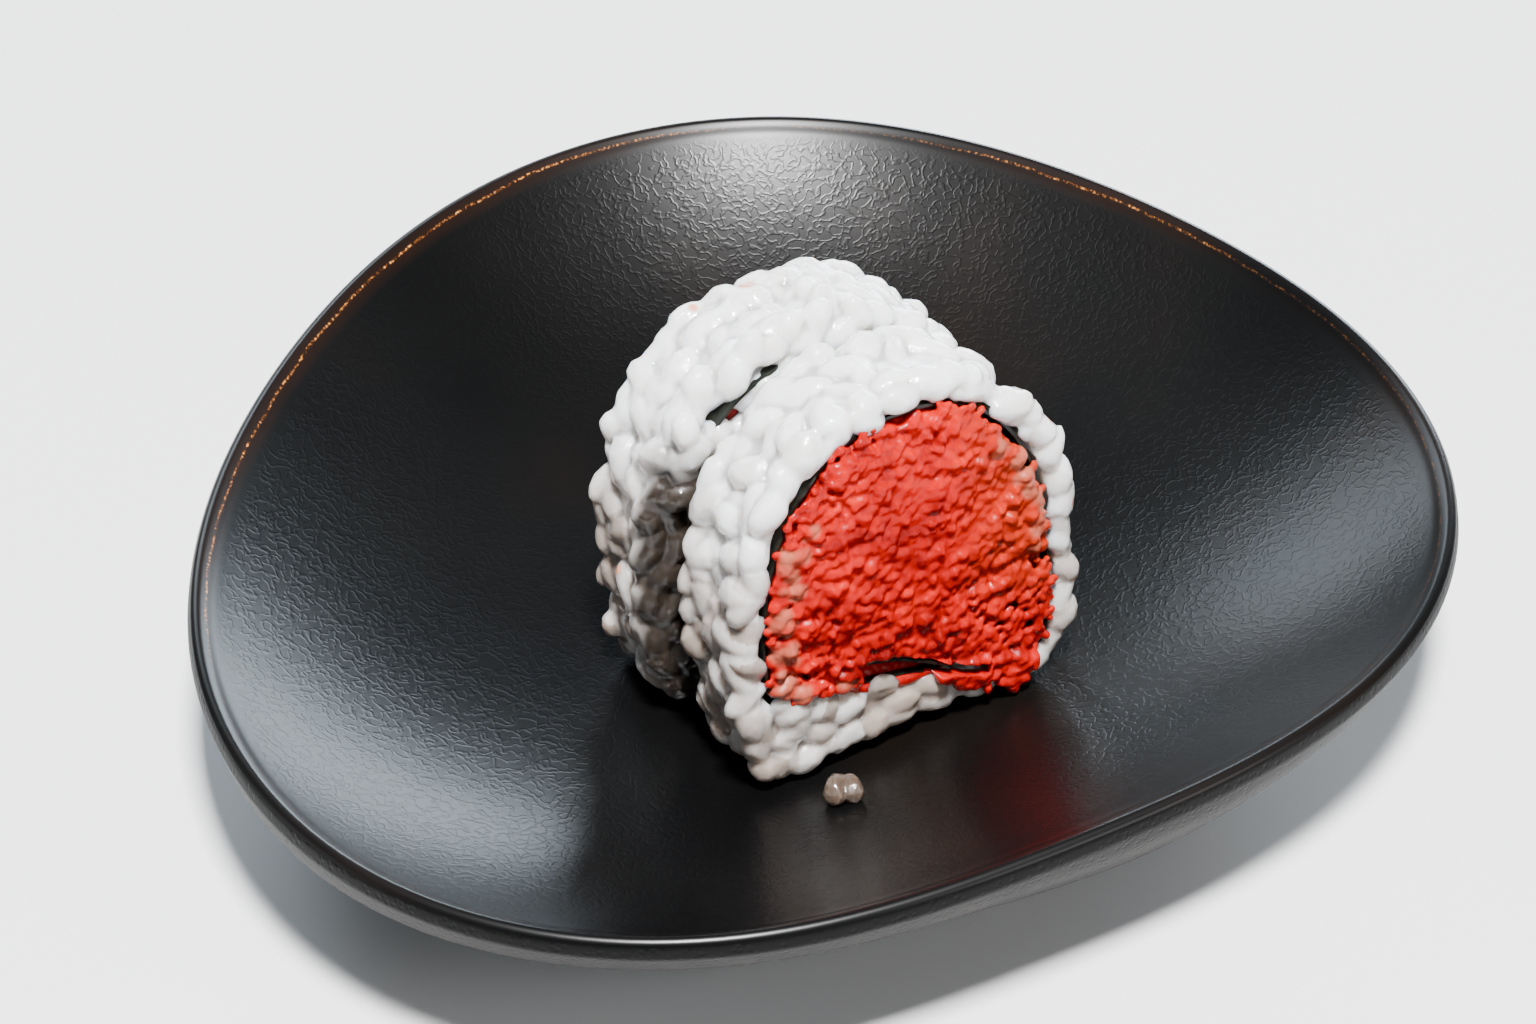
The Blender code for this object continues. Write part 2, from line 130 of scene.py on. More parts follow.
# Lumps at the filling's cut face: the gap between them, the roe at its edge and those spilt over the rice
LUMP_GAP = 0.88 * MM
ROE = 64
SPILL = 110
# Stretches (middle and half width in degrees) where the nori shows round the front filling
NORI_SHOWS = ((88, 9), (47, 9), (2, 6), (178, 7), (192, 5))
# Orange stains on the rice, as (u, y, v, radius) in each slice. The key says whether its near face is shown
STAINS = {
    True: ((19.6 * MM, 0.5 * MM, 33.5 * MM, 0.6 * MM), (21.5 * MM, 0.2 * MM, 22.0 * MM, 0.5 * MM)),
    False: (
        (-20.5 * MM, 8.0 * MM, 31.0 * MM, 0.6 * MM), (-21.8 * MM, 7.0 * MM, 17.0 * MM, 0.7 * MM),
        (-2.0 * MM, 10.0 * MM, 45.3 * MM, 1.0 * MM), (-8.0 * MM, 11.0 * MM, 43.6 * MM, 0.5 * MM),
    ),
}

# Rice that closes the gap between the slices: how far it reaches in from the coat's outside, the directions in
# degrees that it lies between and where it starts to lie deeper, and the (u, v, radius) of its hole
BRIDGE_REACH = 9.0 * MM
BRIDGE_START = 62
BRIDGE_DEEP = 143
BRIDGE_END = 215
BRIDGE_HOLE = (-10.9 * MM, 39.5 * MM, 2.5 * MM)

# The loose clump's middle, and its two grains as (offset, height over the dish, lie, length, width)
LOOSE_PLACE = (1.05 * MM, -35.2 * MM)
LOOSE_GRAINS = (
    ((-0.7 * MM, 0.0), 1.35 * MM, (0.25, 1, 0.05), 4.2 * MM, 2.8 * MM),
    ((0.8 * MM, 0.2 * MM), 1.3 * MM, (-0.3, 1, 0), 3.9 * MM, 2.6 * MM),
)

# Lamps: name, place, size, power and tint
LIGHT_AIM = (0, 0, 0.02)
LIGHTS = (
    ("high_softbox", (0.03, -0.23, 0.82), (0.12, 0.12), 29.0, (1.0, 1.0, 1.0)),
    ("low_window", (0.272, 0.837, 0.187), (0.60, 0.26), 8.6, (0.78, 0.90, 1.0)),
    ("back_window", (-0.366, 0.688, 0.45), (0.45, 0.30), 4.4, (0.78, 0.90, 1.0)),
    ("right_fill", (0.60, -0.40, 0.42), (0.3, 0.3), 1.8, (1.0, 1.0, 1.0)),
    ("left_fill", (-0.75, -0.12, 0.30), (0.4, 0.3), 0.6, (0.86, 0.94, 1.0)),
)
SKY = (0.9, 0.95, 1.0, 1.0)
SKY_STRENGTH = 0.12


# Materials

# Settings that recur in their nodes
EASED = {"interpolation_type": "SMOOTHSTEP"}
TIMES = {"operation": "MULTIPLY"}
TIMES_PLUS = {"operation": "MULTIPLY_ADD"}
LESS = {"operation": "SUBTRACT"}
SIZE = {"operation": "ABSOLUTE"}
COLOURS = {"data_type": "RGBA"}


def colour(code):
    """A linear colour from an sRGB hex code."""
    parts = [int(code[i : i + 2], 16) / 255 for i in (1, 3, 5)]
    return (*[p / 12.92 if p <= 0.04045 else ((p + 0.055) / 1.055) ** 2.4 for p in parts], 1.0)


def add(tree, kind, settings=(), stops=(), **inputs):
    """Adds a node with its settings, and a ramp's stops as (place, sRGB hex). An input takes a value, or a socket
    to link from; _ stands for a space."""
    made = tree.nodes.new(kind)
    for name, value in dict(settings).items():
        setattr(made, name, value)
    if stops:
        bar = made.color_ramp.elements
        while len(bar) < len(stops):
            bar.new(0.5)
        for stop, (place, code) in zip(bar, stops):
            stop.position = place
            stop.color = colour(code)
    for name, value in inputs.items():
        key = int(name[1:]) if name[0] == "i" and name[1:].isdigit() else name.replace("_", " ")
        if isinstance(value, bpy.types.NodeSocket):
            tree.links.new(value, made.inputs[key])
        else:
            made.inputs[key].default_value = value
    return made


def new_material(name, **settings):
    """A material with its Principled shader and its object coordinates."""
    made = bpy.data.materials.new(name)
    made.use_nodes = True
    tree = made.node_tree
    shader = tree.nodes["Principled BSDF"]
    for key, value in settings.items():
        shader.inputs[key.replace("_", " ")].default_value = value
    place = add(tree, "ShaderNodeTexCoord").outputs["Object"]
    return made, tree, shader, place


def black_glaze():
    """Stoneware dipped in a satin black glaze and fired. The glaze crawls into fine wrinkles in the well, runs
    thin and bronze in a line along the rim, and stops just outside the rim's crest."""
    made, tree, shader, place = new_material("satin_black_glazed_stoneware", IOR=1.31)
    along = add(tree, "ShaderNodeAttribute", {"attribute_name": "along"}).outputs["Fac"]
    # Curly wrinkles about 0.3 mm wide and 1 mm apart, gone at the rim
    warp = add(tree, "ShaderNodeTexNoise", Vector=place, Scale=520.0, Detail=1.0)
    bent = add(
        tree, "ShaderNodeVectorMath", TIMES_PLUS,
        i0=warp.outputs["Color"], i1=(0.0012, 0.0012, 0.0012), i2=place,
    )
    worm = add(
        tree, "ShaderNodeTexNoise", Vector=bent.outputs["Vector"], Scale=840.0, Detail=1.0, Roughness=0.4
    )
    fold = add(tree, "ShaderNodeMath", LESS, i0=worm.outputs["Fac"], i1=0.5)
    fold = add(tree, "ShaderNodeMath", SIZE, i0=fold.outputs[0])
    fold = add(tree, "ShaderNodeMapRange", EASED, Value=fold.outputs[0], From_Max=0.09)
    fade = add(tree, "ShaderNodeMapRange", EASED, Value=along, From_Min=-2.0, From_Max=-5.0)
    fold = add(tree, "ShaderNodeMath", TIMES, i0=fold.outputs[0], i1=fade.outputs[0])
    dust = add(tree, "ShaderNodeTexNoise", Vector=place, Scale=3800.0, Detail=2.0)
    height = add(tree, "ShaderNodeMath", TIMES_PLUS, i0=dust.outputs["Fac"], i1=0.15, i2=fold.outputs[0])
    bump = add(tree, "ShaderNodeBump", Strength=0.11, Distance=0.00016, Height=height.outputs[0])
    # Broad drifts from black to brown-black in the glaze
    drift = add(tree, "ShaderNodeTexNoise", Vector=place, Scale=26.0, Detail=2.0)
    glaze = add(
        tree, "ShaderNodeValToRGB", stops=((0.30, "#040405"), (0.55, "#070707"), (0.72, "#0e0907")),
        Fac=drift.outputs["Fac"],
    )
    # Bronze: a hair line that wanders just inside the crest on the left and far sides, in a brown haze
    wander = add(tree, "ShaderNodeTexNoise", Vector=place, Scale=120.0, Detail=3.0)
    moved = add(tree, "ShaderNodeMath", TIMES_PLUS, i0=wander.outputs["Fac"], i1=1.1, i2=along)
    moved = add(tree, "ShaderNodeMath", LESS, i0=moved.outputs[0], i1=-0.65)
    moved = add(tree, "ShaderNodeMath", SIZE, i0=moved.outputs[0])
    hair = add(
        tree, "ShaderNodeMapRange", EASED,
        Value=moved.outputs[0], From_Min=0.04, From_Max=0.21, To_Min=1.0, To_Max=0.0,
    )
    presence = add(tree, "ShaderNodeTexNoise", Vector=place, Scale=22.0, Detail=1.0)
    present = add(
        tree, "ShaderNodeMapRange", EASED, Value=presence.outputs["Fac"], From_Min=0.30, From_Max=0.46
    )
    split = add(tree, "ShaderNodeSeparateXYZ", Vector=place)
    side = add(
        tree, "ShaderNodeMath", TIMES_PLUS, i0=split.outputs["X"], i1=-0.6, i2=split.outputs["Y"]
    )
    far_side = add(
        tree, "ShaderNodeMapRange", Value=side.outputs[0], From_Min=0.008, From_Max=0.03, To_Min=0.08
    )
    sideways = add(tree, "ShaderNodeMath", SIZE, i0=split.outputs["X"])
    flanks = add(
        tree, "ShaderNodeMapRange", Value=sideways.outputs[0], From_Min=0.010, From_Max=0.034, To_Min=0.12
    )
    far_side = add(tree, "ShaderNodeMath", TIMES, i0=far_side.outputs[0], i1=flanks.outputs[0])
    present = add(tree, "ShaderNodeMath", TIMES, i0=present.outputs[0], i1=far_side.outputs[0])
    line = add(tree, "ShaderNodeMath", TIMES, i0=hair.outputs[0], i1=present.outputs[0])
    near = add(
        tree, "ShaderNodeMapRange",
        Value=moved.outputs[0], From_Min=0.2, From_Max=1.8, To_Min=0.5, To_Max=0.0,
    )
    haze = add(tree, "ShaderNodeMath", TIMES, i0=near.outputs[0], i1=present.outputs[0])
    hazed = add(
        tree, "ShaderNodeMix", COLOURS, i0=haze.outputs[0], i6=glaze.outputs["Color"], i7=colour("#26150d")
    )
    fleck = add(tree, "ShaderNodeTexNoise", Vector=place, Scale=2600.0, Detail=2.0)
    bronze = add(
        tree, "ShaderNodeValToRGB", stops=((0.40, "#1a0e07"), (0.54, "#5c3315"), (0.68, "#cf8c4a")),
        Fac=fleck.outputs["Fac"],
    )
    rimmed = add(
        tree, "ShaderNodeMix", COLOURS,
        i0=line.outputs[0], i6=hazed.outputs["Result"], i7=bronze.outputs["Color"],
    )
    rough = add(tree, "ShaderNodeMapRange", Value=drift.outputs["Fac"], To_Min=0.26, To_Max=0.34)
    tree.links.new(rimmed.outputs["Result"], shader.inputs["Base Color"])
    tree.links.new(rough.outputs[0], shader.inputs["Roughness"])
    tree.links.new(bump.outputs["Normal"], shader.inputs["Normal"])
    return made


def bare_stoneware():
    """The dish's outside: dark stoneware with a thin matt black slip, dull, and grey-brown and pitted below the
    lip where the slip is wiped off."""
    made, tree, shader, place = new_material(
        "dull_dark_stoneware", IOR=1.4, Roughness=0.5, Specular_IOR_Level=0.14
    )
    along = add(tree, "ShaderNodeAttribute", {"attribute_name": "along"}).outputs["Fac"]
    bare = add(tree, "ShaderNodeMapRange", EASED, Value=along, From_Min=3.2, From_Max=5.4)
    pits = add(tree, "ShaderNodeTexVoronoi", Vector=place, Scale=1300.0)
    pit = add(tree, "ShaderNodeMapRange", Value=pits.outputs["Distance"], From_Min=0.12, From_Max=0.45)
    blotch = add(tree, "ShaderNodeTexNoise", Vector=place, Scale=160.0, Detail=3.0)
    tone = add(
        tree, "ShaderNodeValToRGB", stops=((0.30, "#080707"), (0.55, "#14110f"), (0.75, "#221d1b")),
        Fac=blotch.outputs["Fac"],
    )
    clay = add(
        tree, "ShaderNodeMix", COLOURS, i0=pit.outputs[0], i6=colour("#050404"), i7=tone.outputs["Color"]
    )
    bump = add(tree, "ShaderNodeBump", Strength=0.3, Distance=0.00015, Height=pit.outputs[0])
    slip = add(
        tree, "ShaderNodeMix", COLOURS, i0=bare.outputs[0], i6=colour("#030303"), i7=clay.outputs["Result"]
    )
    tree.links.new(slip.outputs["Result"], shader.inputs["Base Color"])
    tree.links.new(bump.outputs["Normal"], shader.inputs["Normal"])
    return made


def cooked_rice():
    """Short grain rice, steamed and pressed by hand. Starch makes it wet, white and cloudy. Light goes some way
    into each grain, so some grains are clear and grey. Painted shade darkens the clefts between them and greys
    the lower left side."""
    made, tree, shader, place = new_material(
        "steamed_rice", IOR=1.4, Roughness=0.3, Subsurface_Weight=1.0, Subsurface_Scale=2.6 * MM,
        Coat_Weight=1.0, Coat_Roughness=0.05, Coat_IOR=1.45,
    )
    shader.inputs["Subsurface Radius"].default_value = (1.0, 0.86, 0.74)
    cloud = add(tree, "ShaderNodeTexNoise", Vector=place, Scale=330.0, Detail=3.0)
    white = add(
        tree, "ShaderNodeValToRGB", stops=((0.30, "#e6e4e2"), (0.55, "#f4f3f2"), (0.75, "#fdfcfc")),
        Fac=cloud.outputs["Fac"],
    )
    # Each number kept by the mesh mixes its own colour in: grey for clear grains and for painted shade on the
    # lower left side, near black for painted shade in the clefts and the gap, orange for stains
    tone = white.outputs["Color"]
    for name, code in (("clear", "#857060"), ("painted_shade", "#302822"), ("stain", "#dd8158")):
        share = add(tree, "ShaderNodeAttribute", {"attribute_name": name}).outputs["Fac"]
        tone = add(tree, "ShaderNodeMix", COLOURS, i0=share, i6=tone, i7=colour(code)).outputs["Result"]
    skin = add(tree, "ShaderNodeTexNoise", Vector=place, Scale=1500.0, Detail=3.0)
    bump = add(tree, "ShaderNodeBump", Strength=0.3, Distance=0.00014, Height=skin.outputs["Fac"])
    drops = add(tree, "ShaderNodeTexNoise", Vector=place, Scale=1100.0, Detail=2.0)
    wet = add(tree, "ShaderNodeBump", Strength=0.7, Distance=0.0003, Height=drops.outputs["Fac"])
    tree.links.new(tone, shader.inputs["Base Color"])
    tree.links.new(bump.outputs["Normal"], shader.inputs["Normal"])
    tree.links.new(wet.outputs["Normal"], shader.inputs["Coat Normal"])
    return made


def red_filling():
    """Fish chopped fine with chilli and roe. It is wet and glistens in small points, deep red inside the
    lumps, orange where thin, and the roe at its edge is pale and cloudy."""
    made, tree, shader, place = new_material(
        "chopped_red_fish", IOR=1.36, Roughness=0.35, Specular_IOR_Level=0.15,
        Subsurface_Weight=0.5, Subsurface_Scale=0.8 * MM,
        Coat_Weight=0.45, Coat_Roughness=0.05, Coat_IOR=1.38,
    )
    shader.inputs["Subsurface Radius"].default_value = (1.0, 0.12, 0.06)
    flesh = add(tree, "ShaderNodeTexNoise", Vector=place, Scale=210.0, Detail=4.0, Roughness=0.6)
    red = add(
        tree, "ShaderNodeValToRGB",
        stops=((0.32, "#720000"), (0.46, "#a00000"), (0.60, "#b60100"), (0.78, "#c21a04")),
        Fac=flesh.outputs["Fac"],
    )
    tone = red.outputs["Color"]
    for name, code in (("warm", "#aa2c06"), ("pale", "#ab5f49")):
        share = add(tree, "ShaderNodeAttribute", {"attribute_name": name}).outputs["Fac"]
        tone = add(tree, "ShaderNodeMix", COLOURS, i0=share, i6=tone, i7=colour(code)).outputs["Result"]
    # Granules about 0.7 mm across, each with its own small wet highlight
    granules = add(tree, "ShaderNodeTexVoronoi", {"feature": "SMOOTH_F1"}, Vector=place, Scale=1350.0)
    bump = add(
        tree, "ShaderNodeBump", {"invert": True},
        Strength=0.5, Distance=0.0003, Height=granules.outputs["Distance"],
    )
    film = add(tree, "ShaderNodeTexNoise", Vector=place, Scale=1700.0, Detail=3.0)
    wet = add(
        tree, "ShaderNodeBump",
        Strength=0.6, Distance=0.0003, Height=film.outputs["Fac"], Normal=bump.outputs["Normal"],
    )
    tree.links.new(tone, shader.inputs["Base Color"])
    tree.links.new(bump.outputs["Normal"], shader.inputs["Normal"])
    tree.links.new(wet.outputs["Normal"], shader.inputs["Coat Normal"])
    return made


def roasted_nori():
    """Pressed and roasted seaweed: a black-green sheet of fine fibres, damp and a little shiny here."""
    made, tree, shader, place = new_material("roasted_nori", IOR=1.45, Roughness=0.42)
    fibre = add(tree, "ShaderNodeTexNoise", Vector=place, Scale=900.0, Detail=4.0, Distortion=1.0)
    dark = add(
        tree, "ShaderNodeValToRGB", stops=((0.35, "#070907"), (0.6, "#121711"), (0.8, "#22281d")),
        Fac=fibre.outputs["Fac"],
    )
    bump = add(tree, "ShaderNodeBump", Strength=0.4, Distance=0.0002, Height=fibre.outputs["Fac"])
    tree.links.new(dark.outputs["Color"], shader.inputs["Base Color"])
    tree.links.new(bump.outputs["Normal"], shader.inputs["Normal"])
    return made


def pale_floor():
    """Matt studio paper, nearly white."""
    made, tree, shader, place = new_material("studio_paper", Roughness=0.8)
    mottle = add(tree, "ShaderNodeTexNoise", Vector=place, Scale=3.0)
    tone = add(
        tree, "ShaderNodeValToRGB", stops=((0.3, "#e9e9e9"), (0.7, "#efefef")), Fac=mottle.outputs["Fac"]
    )
    tree.links.new(tone.outputs["Color"], shader.inputs["Base Color"])
    return made


# Shapes


def put(name, shape, material):
    """The bmesh as an object of the scene."""
    mesh = bpy.data.meshes.new(name)
    shape.to_mesh(mesh)
    shape.free()
    mesh.materials.append(material)
    made = bpy.data.objects.new(name, mesh)
    bpy.context.scene.collection.objects.link(made)
    return made


def bake(thing):
    """Puts the object's modifiers into its mesh."""
    graph = bpy.context.evaluated_depsgraph_get()
    mesh = bpy.data.meshes.new_from_object(thing.evaluated_get(graph))
    thing.modifiers.clear()
    old = thing.data
    thing.data = mesh
    bpy.data.meshes.remove(old)


def remesh(thing, voxel, smoothing):
    """One closed skin over all the overlapping lumps, a little softened."""
    skin = thing.modifiers.new("skin", "REMESH")
    skin.mode = "VOXEL"
    skin.voxel_size = voxel
    soft = thing.modifiers.new("soft", "SMOOTH")
    soft.factor = 0.5
    soft.iterations = smoothing
    bake(thing)


def cut(thing, cutter):
    """Takes the cutter's space out of the object, and the cutter out of the scene."""
    step = thing.modifiers.new("cut", "BOOLEAN")
    step.operation = "DIFFERENCE"
    step.solver = "MANIFOLD"
    step.object = cutter
    bake(thing)
    bpy.data.objects.remove(cutter)


def keep_largest(thing):
    """Drops loose scraps."""
    shape = bmesh.new()
    shape.from_mesh(thing.data)
    left = set(shape.verts)
    shells = []
    while left:
        reached = {left.pop()}
        found = set(reached)
        while reached:
            reached = {e.other_vert(v) for v in reached for e in v.link_edges} - found
            found |= reached
        left -= found
        shells.append(found)
    shells.sort(key=len)
    bmesh.ops.delete(shape, geom=[v for shell in shells[:-1] for v in shell], context="VERTS")
    shape.to_mesh(thing.data)
    shape.free()


def paint(thing, name, values):
    """Keeps one number for each vertex."""
    layer = thing.data.attributes.new(name, "FLOAT", "POINT")
    layer.data.foreach_set("value", np.asarray(values, dtype=np.float32))


def points_of(thing):
    """The places of the object's vertices, one in a row."""
    points = np.empty(len(thing.data.vertices) * 3, dtype=np.float32)
    thing.data.vertices.foreach_get("co", points)
    return points.reshape(-1, 3)


def smooth_path(knots, steps):
    """Points on a soft curve through the knots."""
    knots = np.array(knots, dtype=float)
    before = np.vstack([2 * knots[0] - knots[1], knots, 2 * knots[-1] - knots[-2]])
    out = []
    for k in range(len(knots) - 1):
        a, b, c, d = before[k : k + 4]
        for t in np.linspace(0, 1, steps, endpoint=False):
            straight = 2 * b + (c - a) * t
            out.append(0.5 * (straight + (2 * a - 5 * b + 4 * c - d) * t**2 + (3 * b - a - 3 * c + d) * t**3))
    return np.array([*out, knots[-1]])


def dish_radius(angle):
    """The dish's outline, from the middle that it is turned about."""
    return DISH_RADIUS + sum(size * math.cos(waves * (angle - turn)) for waves, size, turn in DISH_WAVES)


def well_height(share):
    """Height of the well at a share of the way out to the lip."""
    return WELL_HEIGHT + (RIM_HEIGHT - LIP / 2 - WELL_HEIGHT) * share**WELL_POWER


def ground(x, y):
    """Height of the dish's inner surface at a place in the frame."""
    x, y = x + DISH_MIDDLE[0], y + DISH_MIDDLE[1]
    return well_height(min(1.0, math.hypot(x, y) / (dish_radius(math.atan2(y, x)) - LIP)))


def fullness(angle):
    """How full the outer wall is in a direction."""
    total = 0.0
    for direction, spread, amount in BULGES:
        away = (angle - direction + math.pi) % (2 * math.pi) - math.pi
        total += amount * math.exp(-((away / spread) ** 2))
    return total


def egg(shape, bulge=None):
    """Pulls a round turned shape out to the dish's outline and sets it in its place."""
    for v in shape.verts:
        angle = math.atan2(v.co.y, v.co.x)
        far = math.hypot(v.co.x, v.co.y)
        if far > 0:
            wave = 0.12 * MM * noise.noise(Vector((2.2 * math.cos(angle), 2.2 * math.sin(angle), far * 60)))
            reach = far + (dish_radius(angle) - DISH_RADIUS + wave) * min(1.0, far / (DISH_RADIUS - LIP))
            if bulge:
                reach += dish_radius(angle) * v[bulge] * fullness(angle)
            v.co.x = reach * math.cos(angle)
            v.co.y = reach * math.sin(angle)
        v.co.x -= DISH_MIDDLE[0]
        v.co.y -= DISH_MIDDLE[1]


def turned(shape, profile, turns, values=()):
    """Turns a profile of (radius, height) points about the upright axis. Its points may carry named values."""
    values = dict(values)
    for name in values:
        shape.verts.layers.float.new(name)
    layers = [shape.verts.layers.float[name] for name in values]
    line = [shape.verts.new((r, 0.0, z)) for r, z in profile]
    for layer, numbers in zip(layers, values.values()):
        for v, value in zip(line, numbers):
            v[layer] = value
    edges = [shape.edges.new(pair) for pair in zip(line, line[1:])]
    bmesh.ops.spin(
        shape, geom=[*line, *edges], cent=(0, 0, 0), axis=(0, 0, 1), angle=2 * math.pi,
        steps=turns, use_merge=True,
    )
    bmesh.ops.remove_doubles(shape, verts=shape.verts, dist=0.001 * MM)
    bmesh.ops.dissolve_degenerate(shape, edges=shape.edges, dist=0.0005 * MM)
    bmesh.ops.recalc_face_normals(shape, faces=shape.faces)


def make_dish(glaze, stoneware):
    """The dish, turned from one profile. Its skin keeps how far along it each point lies from the crest."""
    inner = [((DISH_RADIUS - LIP) * s, well_height(s), 0) for s in np.linspace(0, 1, 46)]
    lip = [(DISH_RADIUS + across, z, 0) for across, z in smooth_path(np.array(LIP_LINE) * MM, 5)]
    under = [(DISH_RADIUS * s, z * MM, more) for s, more, z in smooth_path(UNDERSIDE, 5)]
    foot = [(DISH_RADIUS * s, z * MM, 0) for s, z in FOOT]
    profile = np.array(inner + lip[1:-1] + under + foot)
    way = np.concatenate([[0], np.cumsum(np.linalg.norm(np.diff(profile[:, :2], axis=0), axis=1))])
    crest = way[int(np.argmax(profile[:, 1]))]
    shape = bmesh.new()
    turned(shape, profile[:, :2], DISH_TURNS, {"along": (way - crest) / MM, "bulge": profile[:, 2]})
    bulge = shape.verts.layers.float["bulge"]
    egg(shape, bulge)
    shape.verts.layers.float.remove(bulge)
    made = put("glazed_dish", shape, glaze)
    made.data.materials.append(stoneware)
    along = made.data.attributes["along"].data
    for face in made.data.polygons:
        face.material_index = int(min(along[v].value for v in face.vertices) > GLAZE_EDGE)
    made.data.shade_smooth()
    made.data.set_sharp_from_angle(angle=math.radians(45))
    return made


def well_cutter(rise):
    """A solid that fills the dish from far below up to its inner surface."""
    profile = [((DISH_RADIUS - LIP) * s, well_height(s) + rise) for s in np.linspace(0, 1, 40)]
    profile += [(DISH_RADIUS - LIP, -40 * MM), (0.0, -40 * MM)]
    shape = bmesh.new()
    turned(shape, profile, CUTTER_TURNS)
    egg(shape)
    return put("well_cutter", shape, bpy.data.materials[0])


# Outlines of a slice, in its own plane: u to the right and v up from the middle of its foot


def outline(side, top, foot, slope, count):
    """The dome inset by these amounts. It runs anticlockwise from its right side, in equal steps."""
    points = []
    for turn in np.linspace(0, 2 * math.pi, 720, endpoint=False):
        c, s = math.cos(turn), math.sin(turn)
        power = 2 / (DOME_POWER if s > 0 else FOOT_POWER)
        across = math.copysign(abs(c) ** power, c)
        if s > 0:
            v = SHOULDER_HEIGHT + (SLICE_HEIGHT - top - SHOULDER_HEIGHT) * s**power
        else:
            low = foot - slope * across + FOOT_ARCH * (1 - across**2)
            v = SHOULDER_HEIGHT - (SHOULDER_HEIGHT - low) * abs(s) ** power
        points.append(((SLICE_WIDTH / 2 - side) * across + DOME_LEAN * v / SLICE_HEIGHT, v))
    loop = np.array([*points, points[0]])
    way = np.concatenate([[0], np.cumsum(np.linalg.norm(np.diff(loop, axis=0), axis=1))])
    steps = np.linspace(0, way[-1], count, endpoint=False)
    return np.stack([np.interp(steps, way, loop[:, k]) for k in range(2)], axis=1)


def coat_inset(extra=0.0):
    """The outline's insets for the coat's inner side."""
    return COAT_SIDE + extra, COAT_TOP + extra, COAT_FOOT + extra, COAT_FOOT_SLOPE


def frame_at(edge, place):
    """Point, tangent and outward direction at a share of the way round an outline."""
    i = int(place * len(edge)) % len(edge)
    du, dv = edge[(i + 1) % len(edge)] - edge[i - 1]
    return edge[i], Vector((du, 0, dv)).normalized(), Vector((dv, 0, -du)).normalized()


def share_of(edge, u, v):
    """How far a point lies from the outline's middle, as a share of the way to the outline."""
    du, dv = edge[:, 0], edge[:, 1] - SHOULDER_HEIGHT
    angles = np.arctan2(dv, du)
    order = np.argsort(angles)
    reach = np.interp(
        np.arctan2(v - SHOULDER_HEIGHT, u), angles[order], np.hypot(du, dv)[order], period=2 * math.pi
    )
    return np.hypot(u, v - SHOULDER_HEIGHT) / reach


def ring_of(shape, points, depth):
    """A closed line through the points, at a depth in the slice."""
    ring = [shape.verts.new((u, depth, v)) for u, v in points]
    return [shape.edges.new((a, b)) for a, b in zip(ring, [*ring[1:], ring[0]])]


def pushed(shape, faces, depth):
    """Gives faces a depth along +Y."""
    out = bmesh.ops.extrude_face_region(shape, geom=faces)["geom"]
    bmesh.ops.translate(shape, vec=(0, depth, 0), verts=[g for g in out if isinstance(g, bmesh.types.BMVert)])


def tube(shape, outer, inner, near, far):
    """A solid between two outlines."""
    edges = ring_of(shape, outer, near) + ring_of(shape, inner, near)
    pushed(shape, bmesh.ops.bridge_loops(shape, edges=edges)["faces"], far - near)


def block(shape, points, near, far):
    """A solid inside an outline."""
    face = bmesh.ops.contextual_create(shape, geom=ring_of(shape, points, near))["faces"]
    pushed(shape, face, far - near)


def block_cutter(name, points, near, far):
    shape = bmesh.new()
    block(shape, points, near, far)
    bmesh.ops.triangulate(shape, faces=shape.faces)
    bmesh.ops.recalc_face_normals(shape, faces=shape.faces)
    return put(name, shape, bpy.data.materials[0])


def spread(draw, reach, gap, tries, loop=False):
    """Points at least a gap apart, thrown at random over a rectangle. With a loop, it closes on itself along
    its first side."""
    kept = np.empty((0, 2))
    for point in draw.uniform((0, 0), reach, (tries, 2)):
        away = np.abs(kept - point)
        if loop:
            away[:, 0] = np.minimum(away[:, 0], reach[0] - away[:, 0])
        if not len(kept) or np.hypot(away[:, 0], away[:, 1]).min() > gap:
            kept = np.vstack([kept, point])
    return kept


def grain(shape, place, lie, outwards, length, width):
    """Adds one grain of rice: a plump body, a little bent and thicker at one end."""
    side = lie.cross(outwards).normalized()
    rise = side.cross(lie).normalized()
    turn = Matrix((lie, side, rise)).transposed()
    for v in bmesh.ops.create_icosphere(shape, subdivisions=2, radius=1.0)["verts"]:
        x, y, z = v.co
        fat = width / 2 * (1 - 0.10 * x) * (1 + 0.10 * (1 - x * x) * x * x * 4)
        body = Vector((length / 2 * x, fat * y, 0.92 * fat * z + GRAIN_BEND * (0.4 - x * x)))
        v.co = place + turn @ body
        v.co += noise.noise_vector(v.co * 520) * GRAIN_UNEVEN


def lump(shape, draw, place, size, detail=1):
    """Adds one small irregular lump."""
    turn = Matrix.Rotation(draw.uniform(0, 6.3), 3, Vector(draw.normal(size=3)).normalized())
    scale = Matrix.Diagonal(Vector(draw.uniform(0.7, 1.3, 3)) * size)
    for v in bmesh.ops.create_icosphere(shape, subdivisions=detail, radius=1.0)["verts"]:
        v.co = place + turn @ (scale @ v.co)


# Pieces of a slice


def random_lie(draw, tangent, cross, most):
    """A direction at a random angle from the tangent, towards the other direction or away from it."""
    turn = draw.uniform(-most, most)
    return (tangent * math.cos(turn) + cross * math.sin(turn)).normalized()


